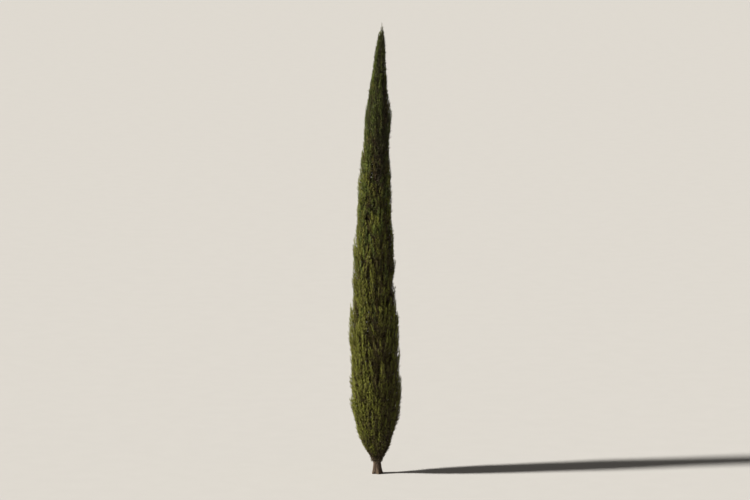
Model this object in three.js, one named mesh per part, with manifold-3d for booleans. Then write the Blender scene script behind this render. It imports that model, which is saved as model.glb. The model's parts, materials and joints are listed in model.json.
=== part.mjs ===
// A pencil cypress about 12 m tall: an upright trunk, steep boughs and the slim masses of foliage they carry.
// Millimetres, +Z up. The origin is the middle of the trunk's flat cut at ground level.
import * as THREE from "three";
import { mergeVertices } from "three/addons/utils/BufferGeometryUtils.js";
import Module from "manifold-3d";

const wasm = await Module();
wasm.setup();

// The whole tree
const treeHeight = 12000;
const growthSeed = 2417;
const seedStep = 7919;

// The trunk, from its flat cut at the ground to the tip where the leader's foliage takes over
const trunkTipHeight = 10200;
const trunkFootRadius = 98;
const trunkTipRadius = 9;
const trunkTaperPower = 0.85;
const trunkSides = 12;
const trunkSteps = 16;
const trunkRingCrowding = 2.2;
const flareReach = 46;
const flareHeight = 190;
const flareRidges = 5;
const flareRidgeShare = 0.18;

// The lean of the whole tree: a slow bow to the left, and a tip that comes back to the right
const tipLean = 120;
const sideBow = 105;
const depthBow = 45;

// The crown's outline: its radius against height
const crownFootHeight = 240;
const crownWidestHeight = 3200;
const crownWidestRadius = 690;
const crownFootPower = 3.4;
const crownTipPower = 0.65;
const longWave = { reach: 0.04, height: 1900, turns: 2, start: 0.7 };
const shortWave = { reach: 0.028, height: 830, turns: -3, start: 2.1 };

// A plume that stands out on the right, high in the crown
const plumeHeight = 9650;
const plumeSpread = 380;
const plumeReach = 0.16;

// The steep slope of boughs and foliage: the rise for each millimetre outwards
const growthRise = 1.9;

// Tiers of foliage, parted into sectors round the trunk. Each base is where its boughs leave the trunk.
const tiers = [
  { name: "foot", sectors: 5, base: 170, stagger: 0 },
  { name: "lower", sectors: 5, base: 1500, stagger: 900 },
  { name: "middle", sectors: 5, base: 3900, stagger: 900 },
  { name: "upper", sectors: 5, base: 6300, stagger: 900 },
  { name: "top", sectors: 3, base: 8600, stagger: 0 },
];
const leaderBase = 10150;
const goldenShare = 0.618034;
const firstSectorAngle = -1.2;

// Boughs
const boughReach = 0.3;
const boughRiseGuess = 380;
const boughRadiusShare = 0.3;
const boughTaper = 0.72;
const boughSag = 12;
const boughSides = 5;
const boughSteps = 2;
const boughTrunkClearance = 0.35;
const jointGap = 0.3;

// The space that each mass keeps to
const sectorMargin = 9;
const tierMarginInside = 66;
const tierMarginOutside = 14;
const openShare = 0.62;
const trunkMargin = 26;
const boughMargin = 5;

// The dense core of a mass, inside the crown's outline
const coreShare = 0.78;
const coreCornerShare = 0.9;
const coreInnerTurn = 0.7;
const coreSides = 5;
const coreSteps = 6;
const coreThinnest = 30;
const coreSideMargin = 18;
const coreTipShare = 0.3;
const coreTipWidth = 0.3;

// The stem of a mass and the twigs that branch from it
const stemSides = 5;
const stemSteps = 4;
const stemTopShare = 0.94;
const stemTaper = 0.35;
const twigSides = 3;
const twigEndShare = 0.82;
const twigRise = 0.65;
const twigRootShare = 0.6;
const twigTipShare = 0.25;
const rowPitch = 350;
const fewestRows = 3;

// Sprays: slim upright flames of foliage, with their roots sunk in their twig and the core
const sprayLength = 560;
const sprayLengthSpread = 0.14;
const sprayWidthShare = 0.27;
const sprayThicknessShare = 0.62;
const sprayWidest = 0.4;
const sprayBend = 0.05;
const sprayReachSpread = 0.05;
const sprayTurnSpread = 0.8;
const sprayLeastRise = 0.45;
const sprayPitch = 190;
const fanShare = 0.62;
const tipLead = 0.72;
const slimmestScale = 0.42;

// The leader's plume above the trunk's tip
const leaderStemTop = treeHeight - 260;
const leaderCoreShare = 0.7;
const leaderCoreThinnest = 12;
const leaderSprays = 30;
const crestLength = 460;

// Finishes
const barkFinish = { color: "#6a5a48", roughness: 0.95, metalness: 0 };
const foliageColors = ["#5c612c", "#4b5226", "#3d4520", "#525a2b", "#34391b"];
const foliageRoughness = 0.9;

// One seeded stream of numbers from 0 to 1, so that the tree grows the same way each time
function randomStream(seed) {
  let state = seed;
  return function nextShare() {
    state = (state * 1664525 + 1013904223) % 4294967296;
    return state / 4294967296;
  };
}

function spread(random, reach) {
  return (random() * 2 - 1) * reach;
}

function mix(a, b, share) {
  return a + (b - a) * share;
}

// The tree's middle line at a height
function axisAt(z) {
  const t = z / treeHeight;
  const x = tipLean * t ** 3 - sideBow * Math.sin(Math.PI * t);
  const y = depthBow * Math.sin(Math.PI * t);
  return new THREE.Vector3(x, y, z);
}

function trunkRadiusAt(z) {
  const left = Math.max(0, 1 - z / trunkTipHeight);
  const stem = mix(trunkTipRadius, trunkFootRadius, left ** trunkTaperPower);
  return stem + flareReach * Math.exp(-z / flareHeight);
}

// The crown's radius at a height, before its lumps
function crownRadius(z) {
  if (z <= crownFootHeight || z >= treeHeight) {
    return 0;
  }
  if (z < crownWidestHeight) {
    const rise = (z - crownFootHeight) / (crownWidestHeight - crownFootHeight);
    return crownWidestRadius * (1 - (1 - rise) ** crownFootPower);
  }
  const fall = (z - crownWidestHeight) / (treeHeight - crownWidestHeight);
  return crownWidestRadius * (1 - fall) ** crownTipPower;
}

// The crown's radius at a height and an angle, with its slow lumps and the plume on the right
function crownAt(z, angle) {
  let swell = 1;
  for (const wave of [longWave, shortWave]) {
    swell += wave.reach * Math.sin((2 * Math.PI * z) / wave.height + wave.turns * angle + wave.start);
  }
  const plume = Math.exp(-(((z - plumeHeight) / plumeSpread) ** 2));
  swell += plumeReach * plume * Math.max(0, Math.cos(angle));
  return crownRadius(z) * swell;
}

// A point of the tree from its distance to the middle line, its angle round that line and its height
function treePoint(radius, angle, z) {
  const point = axisAt(z);
  point.x += radius * Math.cos(angle);
  point.y += radius * Math.sin(angle);
  return point;
}

function polarOf(point) {
  const axis = axisAt(point.z);
  const dx = point.x - axis.x;
  const dy = point.y - axis.y;
  return { radius: Math.hypot(dx, dy), angle: Math.atan2(dy, dx), z: point.z };
}

function bezier(a, b, c, share) {
  const left = (1 - share) ** 2;
  const middle = 2 * share * (1 - share);
  const right = share ** 2;
  return new THREE.Vector3()
    .addScaledVector(a, left)
    .addScaledVector(b, middle)
    .addScaledVector(c, right);
}

function withMergedCorners(geometry) {
  geometry.deleteAttribute("normal");
  geometry.deleteAttribute("uv");
  return mergeVertices(geometry, 1e-3);
}

// A closed tapering limb: a cylinder whose rings are carried along a path and sized by a radius rule
function limbGeometry(path, radiusAt, sides, steps, origin) {
  const geometry = new THREE.CylinderGeometry(1, 1, 1, sides, steps);
  const corners = geometry.attributes.position;
  const nearby = 0.01;
  for (let i = 0; i < corners.count; i += 1) {
    const share = corners.getY(i) + 0.5;
    const before = path(Math.max(0, share - nearby));
    const after = path(Math.min(1, share + nearby));
    const along = after.sub(before).normalize();
    const level = new THREE.Vector3(along.y, -along.x, 0);
    const side = level.lengthSq() > 1e-4 ? level.normalize() : new THREE.Vector3(1, 0, 0);
    const across = new THREE.Vector3().crossVectors(side, along);
    const radius = radiusAt(share);
    const point = path(share).sub(origin);
    point.addScaledVector(side, corners.getX(i) * radius);
    point.addScaledVector(across, corners.getZ(i) * radius);
    corners.setXYZ(i, point.x, point.y, point.z);
  }
  return withMergedCorners(geometry);
}

function solidOf(geometry) {
  const vertProperties = new Float32Array(geometry.attributes.position.array);
  const triVerts = new Uint32Array(geometry.index.array);
  return new wasm.Manifold(new wasm.Mesh({ numProp: 3, vertProperties, triVerts }));
}

// The largest closed body of a solid, without loose scraps or sealed hollows
function soundBody(solid) {
  const bodies = solid.decompose();
  return bodies.reduce((best, body) => (body.volume() > best.volume() ? body : best));
}

function geometryOf(solid) {
  const mesh = solid.getMesh();
  const geometry = new THREE.BufferGeometry();
  geometry.setAttribute("position", new THREE.BufferAttribute(new Float32Array(mesh.vertProperties), 3));
  geometry.setIndex(new THREE.BufferAttribute(new Uint32Array(mesh.triVerts), 1));
  geometry.computeVertexNormals();
  return geometry;
}

// A closed body of level rings stacked up the tree's middle line
function uprightGeometry(heightAt, radiusAt, sides, steps, origin) {
  const geometry = new THREE.CylinderGeometry(1, 1, 1, sides, steps);
  const corners = geometry.attributes.position;
  for (let i = 0; i < corners.count; i += 1) {
    const z = heightAt(corners.getY(i) + 0.5);
    const middle = Math.hypot(corners.getX(i), corners.getZ(i)) < 0.5;
    const angle = Math.atan2(-corners.getZ(i), corners.getX(i));
    const point = treePoint(middle ? 0 : radiusAt(z, angle), angle, z).sub(origin);
    corners.setXYZ(i, point.x, point.y, point.z);
  }
  return withMergedCorners(geometry);
}

// The trunk: its rings stand closer together in the root flare, whose ridges fade as it rises
function trunkGeometry(clearance) {
  const heightAt = (share) => trunkTipHeight * share ** trunkRingCrowding;
  const radiusAt = (z, angle) => {
    const ridge = flareRidgeShare * Math.exp(-z / flareHeight) * Math.cos(flareRidges * angle);
    return trunkRadiusAt(z) * (1 + ridge) + clearance;
  };
  return uprightGeometry(heightAt, radiusAt, trunkSides, trunkSteps, new THREE.Vector3());
}

// The lower edge of a tier in one sector, told by the height where its slope meets the middle line
function tierBase(tierIndex, sectorIndex) {
  if (tierIndex >= tiers.length) {
    return leaderBase;
  }
  const tier = tiers[tierIndex];
  const share = (sectorIndex * goldenShare) % 1;
  return tier.base + tier.stagger * (share - 0.5);
}

// Every mass of the crown with the space that it keeps to
function crownSpaces() {
  const spaces = [];
  tiers.forEach((tier, tierIndex) => {
    for (let sector = 0; sector < tier.sectors; sector += 1) {
      spaces.push({
        name: `${tier.name}_${sector + 1}`,
        angle: firstSectorAngle + (sector * 2 * Math.PI) / tier.sectors,
        halfAngle: Math.PI / tier.sectors,
        low: tierBase(tierIndex, sector),
        high: tierBase(tierIndex + 1, sector),
      });
    }
  });
  return spaces;
}

// Masses keep further from their tiers' edges near the trunk, where the boughs run, than at the surface
function tierMargin(radius, z) {
  const share = Math.min(1, radius / (crownRadius(z) * openShare + 1));
  return mix(tierMarginInside, tierMarginOutside, share ** 2);
}

// True for a point that is well inside the space of a mass
function insideSpace(space, point) {
  const { radius, angle, z } = polarOf(point);
  if (radius < trunkRadiusAt(z) + trunkMargin) {
    return false;
  }
  const turn = Math.atan2(Math.sin(angle - space.angle), Math.cos(angle - space.angle));
  const room = space.halfAngle - Math.abs(turn);
  if (room <= 0 || (room < Math.PI / 2 && radius * Math.sin(room) < sectorMargin)) {
    return false;
  }
  const slopeFoot = z - growthRise * radius;
  const margin = tierMargin(radius, z);
  return slopeFoot > space.low + margin && slopeFoot < space.high - margin;
}

// A bough rises along the lower edge of its mass's space, from inside the trunk to the foot of the mass
function boughOf(space) {
  const nearHeight = space.low + boughRiseGuess;
  const trunkRadius = trunkRadiusAt(nearHeight);
  const reach = mix(trunkRadius, crownAt(nearHeight, space.angle), boughReach);
  const root = axisAt(space.low);
  const tip = treePoint(reach, space.angle, space.low + growthRise * reach);
  const bend = root.clone().lerp(tip, 0.5);
  bend.x += boughSag * Math.cos(space.angle);
  bend.y += boughSag * Math.sin(space.angle);
  const path = (share) => bezier(root, bend, tip, share);
  const rootRadius = boughRadiusShare * trunkRadius;
  const radiusAt = (share) => rootRadius * mix(1, boughTaper, share);
  const heading = tip.clone().sub(bend).normalize();
  return { path, radiusAt, root, tip, heading, tipRadius: radiusAt(1) };
}

// A bough made a little wider and longer, to cut foliage clear of it
function wideBoughGeometry(bough, origin) {
  const longer = 1 + boughMargin / bough.root.distanceTo(bough.tip);
  const path = (share) => bough.path(share * longer);
  const radiusAt = (share) => bough.radiusAt(share) + boughMargin;
  return limbGeometry(path, radiusAt, boughSides, boughSteps, origin);
}

// The inner and outer reach of a core at a height. Its inner side is a chord, clear of trunk and next tier.
function coreReach(space, z) {
  const besideTrunk = trunkRadiusAt(z) + trunkMargin;
  const underNextTier = (z - space.high + tierMarginInside) / growthRise;
  const overOwnBough = (z - space.low - tierMarginInside) / growthRise;
  return {
    inner: Math.max(besideTrunk, underNextTier) / Math.cos(space.halfAngle * coreInnerTurn),
    outer: Math.min(coreShare * crownAt(z, space.angle), overOwnBough),
  };
}

// The lowest and the highest level where a core is thick enough to be made
function coreHeights(space) {
  const step = 10;
  let low = 0;
  let high = 0;
  for (let z = crownFootHeight; z < treeHeight; z += step) {
    const reach = coreReach(space, z);
    if (reach.outer - reach.inner > coreThinnest) {
      low = low || z;
      high = z;
    }
  }
  return { low, high };
}

// The dense core: sections like rounded slices of the crown, stacked up the mass
function coreGeometry(space, heights, origin) {
  const geometry = new THREE.CylinderGeometry(1, 1, 1, coreSides, coreSteps);
  const corners = geometry.attributes.position;
  for (let i = 0; i < corners.count; i += 1) {
    const share = corners.getY(i) + 0.5;
    const z = mix(heights.low, heights.high, share);
    const reach = coreReach(space, z);
    const outerTurn = space.halfAngle - Math.asin(Math.min(0.6, coreSideMargin / reach.outer));
    const narrowed = space.halfAngle - Math.asin(Math.min(0.6, coreSideMargin / reach.inner));
    const innerTurn = Math.min(space.halfAngle * coreInnerTurn, narrowed);
    const tipward = Math.max(0, (share - 1 + coreTipShare) / coreTipShare);
    const width = mix(1, coreTipWidth, tipward ** 2);
    const section = [
      [reach.inner, -innerTurn * width],
      [reach.outer * coreCornerShare, -outerTurn * width],
      [reach.outer, 0],
      [reach.outer * coreCornerShare, outerTurn * width],
      [reach.inner, innerTurn * width],
    ];
    const middle = Math.hypot(corners.getX(i), corners.getZ(i)) < 0.5;
    const turn = Math.atan2(corners.getX(i), corners.getZ(i)) / (2 * Math.PI);
    const corner = Math.round((turn < 0 ? turn + 1 : turn) * coreSides) % coreSides;
    const [radius, angle] = middle ? [(reach.inner + reach.outer) / 2, 0] : section[corner];
    const point = treePoint(Math.max(radius, reach.inner), space.angle + angle, z).sub(origin);
    corners.setXYZ(i, point.x, point.y, point.z);
  }
  return withMergedCorners(geometry);
}

// A point of a spray, from its share of the length and its steps to the side and across, each from -1 to 1
function sprayPoint(spray, share, sidestep, crossstep) {
  const along = spray.tip.clone().sub(spray.root);
  const length = along.length();
  const heading = along.clone().normalize();
  const level = new THREE.Vector3(-Math.sin(spray.angle), Math.cos(spray.angle), 0);
  const side = level.addScaledVector(heading, -level.dot(heading)).normalize();
  side.applyAxisAngle(heading, spray.turn);
  const across = new THREE.Vector3().crossVectors(side, heading);
  const fullness = share <= sprayWidest ? share / sprayWidest : (1 - share) / (1 - sprayWidest);
  const halfWidth = (length * sprayWidthShare * fullness) / 2;
  const point = spray.root.clone().addScaledVector(along, share);
  point.addScaledVector(side, sidestep * halfWidth);
  point.addScaledVector(across, crossstep * halfWidth * sprayThicknessShare);
  point.x += Math.cos(spray.angle) * length * sprayBend * fullness;
  point.y += Math.sin(spray.angle) * length * sprayBend * fullness;
  return point;
}

// One flame of foliage: a three-edged blade, widest below its middle and bent a little outwards
function sprayGeometry(spray, origin) {
  const ends = [0, 1, 0, 0, -1, 0];
  const ring = [0, 0, 1, Math.sqrt(0.75), 0, -0.5, -Math.sqrt(0.75), 0, -0.5];
  const faces = [0, 2, 3, 0, 3, 4, 0, 4, 2, 1, 3, 2, 1, 4, 3, 1, 2, 4];
  const geometry = new THREE.PolyhedronGeometry([...ends, ...ring], faces, 1, 0);
  const corners = geometry.attributes.position;
  for (let i = 0; i < corners.count; i += 1) {
    const place = Math.round(corners.getY(i));
    const share = place === 0 ? sprayWidest : (place + 1) / 2;
    const point = sprayPoint(spray, share, corners.getX(i), corners.getZ(i)).sub(origin);
    corners.setXYZ(i, point.x, point.y, point.z);
  }
  return withMergedCorners(geometry);
}

// Foliage is smaller where the crown is slimmer
function fineness(z, angle) {
  return mix(slimmestScale, 1, crownAt(z, angle) / crownWidestRadius);
}

function sprayLengthAt(z, angle) {
  return sprayLength * fineness(z, angle);
}

// A spray from its root in the twig to a tip on the crown's outline
function sprayFrom(root, angle, random) {
  const from = polarOf(root);
  const length = sprayLengthAt(from.z, angle) * (1 + spread(random, sprayLengthSpread));
  const reach = 1 - sprayReachSpread * random();
  const turn = spread(random, sprayTurnSpread);
  let tip = treePoint(crownAt(from.z, angle) * reach, angle, from.z);
  for (let pass = 0; pass < 3; pass += 1) {
    const sideways = Math.hypot(tip.x - root.x, tip.y - root.y);
    const rise = Math.max(Math.sqrt(Math.max(length ** 2 - sideways ** 2, 0)), sprayLeastRise * length);
    const z = Math.min(root.z + rise, treeHeight - 30);
    tip = treePoint(crownAt(z, angle) * reach, angle, z);
  }
  return { root, tip, angle, turn };
}

function distanceToBough(bough, point) {
  const samples = 8;
  let nearest = Infinity;
  for (let i = 0; i <= samples; i += 1) {
    nearest = Math.min(nearest, bough.path(i / samples).distanceTo(point) - bough.radiusAt(i / samples));
  }
  return nearest;
}

// True where a spray keeps to its space and stays off every bough
function sprayFits(spray, space, boughs) {
  for (const share of [0.2, sprayWidest, 0.7, 1]) {
    for (const [sidestep, crossstep] of [[-1, 0], [1, 0], [0, -1], [0, 1]]) {
      const edge = sprayPoint(spray, share, sidestep, crossstep);
      if (!insideSpace(space, edge) || boughs.some((bough) => distanceToBough(bough, edge) < boughMargin)) {
        return false;
      }
    }
  }
  return true;
}

// The height where a tier's edge meets a share of the crown's radius
function edgeHeight(space, base, share) {
  const lowestTip = crownFootHeight + 300;
  let z = base;
  for (let pass = 0; pass < 12; pass += 1) {
    z = base + growthRise * share * crownAt(Math.max(z, lowestTip), space.angle);
  }
  return z;
}

// The stem of a mass: on from its bough's tip, up the middle of its core
function stemOf(space, bough, heights) {
  const start = bough.tip.clone().addScaledVector(bough.heading, jointGap);
  const coreMiddle = (z) => {
    const reach = coreReach(space, z);
    return treePoint((reach.inner + reach.outer) / 2, space.angle, z);
  };
  const bend = coreMiddle(mix(start.z, heights.high, 0.45));
  const lead = start.clone().addScaledVector(bough.heading, start.distanceTo(bend) * 0.25);
  const top = coreMiddle(mix(heights.low, heights.high, stemTopShare));
  const curve = new THREE.CubicBezierCurve3(start, lead, bend, top);
  return {
    start,
    path: (share) => curve.getPoint(share),
    radiusAt: (share) => bough.tipRadius * mix(1, stemTaper, share),
  };
}

// The point of a rising path at a height, found by halving
function pathPointAt(path, z) {
  let low = 0;
  let high = 1;
  for (let pass = 0; pass < 12; pass += 1) {
    const middle = (low + high) / 2;
    if (path(middle).z < z) {
      low = middle;
    } else {
      high = middle;
    }
  }
  return path(low);
}

// The twigs of a mass leave its stem to the left and the right in turn, each with a fan of sprays at its end
function twigsOf(space, stem, heights, random) {
  const twigs = [];
  const foot = stem.path(0.08).z;
  const lowest = edgeHeight(space, space.low, twigEndShare) + tierMarginOutside;
  const highest = edgeHeight(space, space.high, 1) - tipLead * sprayLengthAt(heights.high, space.angle);
  const scale = fineness((lowest + highest) / 2, space.angle);
  const rows = Math.max(fewestRows, Math.round((highest - lowest) / (rowPitch * scale)));
  for (let row = 0; row < rows; row += 1) {
    const hand = row % 2 === 0 ? -1 : 1;
    const z = mix(lowest, highest, (row + 0.5 + spread(random, 0.3)) / rows);
    const angle = space.angle + hand * space.halfAngle * mix(0.2, 0.45, random());
    const endRadius = twigEndShare * crownAt(z, angle);
    const root = pathPointAt(stem.path, Math.max(z - twigRise * endRadius, foot));
    const end = treePoint(endRadius, angle, z);
    const width = 2 * space.halfAngle * crownAt(z, angle);
    const count = Math.max(2, Math.round((fanShare * width) / (sprayPitch * scale)));
    twigs.push({ root, end, angle, hand, count });
  }
  return twigs;
}

// The fan of sprays at a twig's end, from the twig's own side of its space to past the middle
function spraysOf(twig, space, random) {
  const sprays = [];
  for (let i = 0; i < twig.count; i += 1) {
    const place = mix(1, 1 - 2 * fanShare, i / (twig.count - 1)) * twig.hand;
    const root = twig.root.clone().lerp(twig.end, mix(0.5, 0.8, random()));
    const halfWidth = (sprayLengthAt(root.z, twig.angle) * sprayWidthShare) / 2 + sectorMargin;
    const widest = space.halfAngle - Math.asin(Math.min(0.7, halfWidth / crownAt(root.z, twig.angle)));
    const angle = space.angle + widest * place + spread(random, 0.04);
    sprays.push(sprayFrom(root, angle, random));
  }
  return sprays;
}

// A twig with the sprays that fit, or nothing where none does
function twigSolids(twig, space, bough, boughs, origin, random) {
  const sprays = spraysOf(twig, space, random).filter((spray) => sprayFits(spray, space, boughs));
  const middle = twig.root.clone().lerp(twig.end, 0.5);
  if (sprays.length === 0 || !insideSpace(space, twig.end) || !insideSpace(space, middle)) {
    return [];
  }
  const path = (share) => twig.root.clone().lerp(twig.end, share);
  const radiusAt = (share) => bough.tipRadius * mix(twigRootShare, twigTipShare, share);
  const wood = limbGeometry(path, radiusAt, twigSides, 1, origin);
  return [wood, ...sprays.map((spray) => sprayGeometry(spray, origin))].map(solidOf);
}

// A mass of foliage: its core, twigs, sprays and stem fused into one body that is clear of every bough
function massOf(space, bough, boughs, random) {
  const heights = coreHeights(space);
  const stem = stemOf(space, bough, heights);
  const origin = stem.start;
  let solid = solidOf(coreGeometry(space, heights, origin));
  for (const twig of twigsOf(space, stem, heights, random)) {
    for (const piece of twigSolids(twig, space, bough, boughs, origin, random)) {
      solid = solid.add(piece);
    }
  }
  solid = solid.subtract(solidOf(wideBoughGeometry(bough, origin)));
  solid = solid.add(solidOf(limbGeometry(stem.path, stem.radiusAt, stemSides, stemSteps, origin)));
  for (const other of boughs.filter((each) => each !== bough)) {
    solid = solid.subtract(solidOf(wideBoughGeometry(other, origin)));
  }
  return { geometry: geometryOf(soundBody(solid)), origin };
}

// The leader: a round plume that carries the tree up from the trunk's tip
function leaderOf(random) {
  const origin = axisAt(trunkTipHeight + jointGap);
  const stemHeight = (share) => mix(origin.z, leaderStemTop, share);
  const stemRadius = (z) => {
    const share = (z - origin.z) / (leaderStemTop - origin.z);
    return trunkTipRadius * mix(1, stemTaper, share);
  };
  let solid = solidOf(uprightGeometry(stemHeight, stemRadius, stemSides, stemSteps, origin));
  const coreLow = trunkTipHeight + 60;
  const coreHeight = (share) => mix(coreLow, leaderStemTop - 60, share);
  const coreRadius = (z) => {
    const room = (z - leaderBase - tierMarginOutside) / growthRise;
    return Math.max(Math.min(room, crownRadius(z) * leaderCoreShare), leaderCoreThinnest);
  };
  solid = solid.add(solidOf(uprightGeometry(coreHeight, coreRadius, coreSides, coreSteps, origin)));
  for (let i = 0; i < leaderSprays; i += 1) {
    const angle = i * 2 * Math.PI * goldenShare;
    const z = mix(coreLow + 20, leaderStemTop - 120, i / (leaderSprays - 1));
    const root = treePoint(coreRadius(z) * 0.5, angle, z);
    const spray = sprayFrom(root, angle, random);
    const tip = polarOf(spray.tip);
    if (tip.z - growthRise * tip.radius > leaderBase + tierMarginOutside) {
      solid = solid.add(solidOf(sprayGeometry(spray, origin)));
    }
  }
  const crest = { root: axisAt(treeHeight - crestLength), tip: axisAt(treeHeight), angle: 0, turn: 0.4 };
  solid = solid.add(solidOf(sprayGeometry(crest, origin)));
  return { geometry: geometryOf(soundBody(solid)), origin };
}

function foliageFinish(index) {
  return { color: foliageColors[index % foliageColors.length], roughness: foliageRoughness, metalness: 0 };
}

function addMesh(group, name, geometry, finish, position) {
  const mesh = new THREE.Mesh(geometry, new THREE.MeshStandardMaterial(finish));
  mesh.name = name;
  mesh.position.copy(position);
  group.add(mesh);
}

function buildTree() {
  const tree = new THREE.Group();
  tree.name = "pencil_cypress";
  addMesh(tree, "trunk", trunkGeometry(0), barkFinish, new THREE.Vector3());

  const spaces = crownSpaces();
  const boughs = spaces.map(boughOf);
  const wideTrunk = solidOf(trunkGeometry(boughTrunkClearance));
  boughs.forEach((bough, index) => {
    const origin = bough.root;
    const limb = solidOf(limbGeometry(bough.path, bough.radiusAt, boughSides, boughSteps, origin));
    const outside = limb.subtract(wideTrunk.translate([-origin.x, -origin.y, -origin.z]));
    addMesh(tree, `bough_${spaces[index].name}`, geometryOf(soundBody(outside)), barkFinish, origin);
  });

  spaces.forEach((space, index) => {
    const random = randomStream(growthSeed + index * seedStep);
    const mass = massOf(space, boughs[index], boughs, random);
    addMesh(tree, `foliage_${space.name}`, mass.geometry, foliageFinish(index), mass.origin);
  });

  const leader = leaderOf(randomStream(growthSeed + spaces.length * seedStep));
  addMesh(tree, "foliage_leader", leader.geometry, foliageFinish(spaces.length), leader.origin);
  return tree;
}

export default buildTree();
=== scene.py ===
import json
import math
import random

import bmesh
import bpy
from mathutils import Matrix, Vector, noise

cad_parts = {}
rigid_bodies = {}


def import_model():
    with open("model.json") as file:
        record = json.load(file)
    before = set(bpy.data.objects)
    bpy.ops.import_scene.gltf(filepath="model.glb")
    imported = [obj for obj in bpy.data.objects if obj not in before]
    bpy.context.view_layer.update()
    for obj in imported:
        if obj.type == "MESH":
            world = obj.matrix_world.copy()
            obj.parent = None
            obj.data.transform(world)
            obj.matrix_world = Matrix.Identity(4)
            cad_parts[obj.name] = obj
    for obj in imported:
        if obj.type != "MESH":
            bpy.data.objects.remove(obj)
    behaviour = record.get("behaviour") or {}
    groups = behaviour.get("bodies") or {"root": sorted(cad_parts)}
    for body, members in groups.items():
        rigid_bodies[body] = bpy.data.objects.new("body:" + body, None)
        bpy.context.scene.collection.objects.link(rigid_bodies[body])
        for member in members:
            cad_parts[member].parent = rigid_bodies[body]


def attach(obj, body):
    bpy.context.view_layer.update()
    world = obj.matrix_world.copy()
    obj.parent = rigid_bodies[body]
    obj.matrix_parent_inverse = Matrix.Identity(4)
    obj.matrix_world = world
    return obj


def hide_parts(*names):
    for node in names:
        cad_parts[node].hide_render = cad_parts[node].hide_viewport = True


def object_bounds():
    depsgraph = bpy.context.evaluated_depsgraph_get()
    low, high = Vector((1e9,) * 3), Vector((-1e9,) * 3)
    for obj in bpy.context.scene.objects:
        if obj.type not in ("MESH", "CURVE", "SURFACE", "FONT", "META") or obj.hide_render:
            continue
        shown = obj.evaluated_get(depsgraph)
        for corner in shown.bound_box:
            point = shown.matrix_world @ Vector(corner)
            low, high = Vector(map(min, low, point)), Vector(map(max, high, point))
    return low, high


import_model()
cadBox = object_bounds()

# The whole tree. Its seed and step are the source's own, so that each spray stands where its solid does.
tree = {
    "height": 12.0,
    "growthSeed": 2417,
    "seedStep": 7919,
    "tipLean": 0.12,
    "sideBow": 0.105,
    "depthBow": 0.045,
    "growthRise": 1.9,      # m up for each metre outwards
}
goldenShare = 0.618034
fullTurn = 2 * math.pi


# Even draws from 0 to 1, in the source's own order
def randomStream(seed):
    factor = 1664525
    addend = 1013904223
    span = 2 ** 32
    state = [seed]

    def nextShare():
        state[0] = (state[0] * factor + addend) % span
        return state[0] / span

    return nextShare


def spread(chance, reach):
    return (chance() * 2 - 1) * reach


def mix(a, b, share):
    return a + (b - a) * share


def smooth(low, high, value):
    share = min(1, max(0, (value - low) / (high - low)))
    return share * share * (3 - 2 * share)


def bell(value, middle, width):
    return math.exp(-(((value - middle) / width) ** 2))


# Halves go up, as in the source
def rounded(value):
    return math.floor(value + 0.5)


def bezier(corners, share):
    points = list(corners)
    while len(points) > 1:
        points = [a.lerp(b, share) for a, b in zip(points, points[1:])]
    return points[0]


# Points along a curve, or along a straight line where there are only two corners
def pointsAlong(corners, steps, endShare=1):
    return [bezier(corners, endShare * step / steps) for step in range(steps + 1)]


# The tree's middle line, and points told by their distance to it, their angle round it and their height
def axisAt(z):
    share = z / tree["height"]
    x = tree["tipLean"] * share ** 3 - tree["sideBow"] * math.sin(math.pi * share)
    y = tree["depthBow"] * math.sin(math.pi * share)
    return Vector((x, y, z))


def treePoint(radius, angle, z):
    return axisAt(z) + Vector((radius * math.cos(angle), radius * math.sin(angle), 0))


def polarOf(point):
    across = point - axisAt(point.z)
    return math.hypot(across.x, across.y), math.atan2(across.y, across.x), point.z


def turnBetween(a, b):
    return math.atan2(math.sin(b - a), math.cos(b - a))


trunk = {
    "tipHeight": 10.2,
    "footRadius": 0.098,
    "tipRadius": 0.009,
    "taperPower": 0.85,
    "flareReach": 0.046,
    "flareHeight": 0.19,
    "flareRidges": 5,
    "flareRidgeShare": 0.18,
}


def trunkRadiusAt(z):
    left = max(0, 1 - z / trunk["tipHeight"])
    stem = mix(trunk["tipRadius"], trunk["footRadius"], left ** trunk["taperPower"])
    return stem + trunk["flareReach"] * math.exp(-z / trunk["flareHeight"])


# The crown's outline: its radius against height and angle
crown = {
    "footHeight": 0.24,
    "widestHeight": 3.2,
    "widestRadius": 0.69,
    "footPower": 3.4,
    "tipPower": 0.65,
    "waves": [(0.04, 1.9, 2, 0.7), (0.028, 0.83, -3, 2.1)],  # reach, height, turns, start
    "plumeHeight": 9.65,
    "plumeSpread": 0.38,
    "plumeReach": 0.16,
    "firstAngle": -1.2,     # of the first sector of each tier
    "edgeFoot": 0.3,        # a mass's outer edge is reckoned no lower than this above the crown's foot
    "edgeRounds": 12,
}


def crownRadius(z):
    if z <= crown["footHeight"] or z >= tree["height"]:
        return 0
    if z < crown["widestHeight"]:
        rise = (z - crown["footHeight"]) / (crown["widestHeight"] - crown["footHeight"])
        return crown["widestRadius"] * (1 - (1 - rise) ** crown["footPower"])
    fall = (z - crown["widestHeight"]) / (tree["height"] - crown["widestHeight"])
    return crown["widestRadius"] * (1 - fall) ** crown["tipPower"]


def crownAt(z, angle):
    swell = 1
    for reach, height, turns, start in crown["waves"]:
        swell += reach * math.sin(fullTurn * z / height + turns * angle + start)
    plume = bell(z, crown["plumeHeight"], crown["plumeSpread"])
    swell += crown["plumeReach"] * plume * max(0, math.cos(angle))
    return crownRadius(z) * swell


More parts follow.
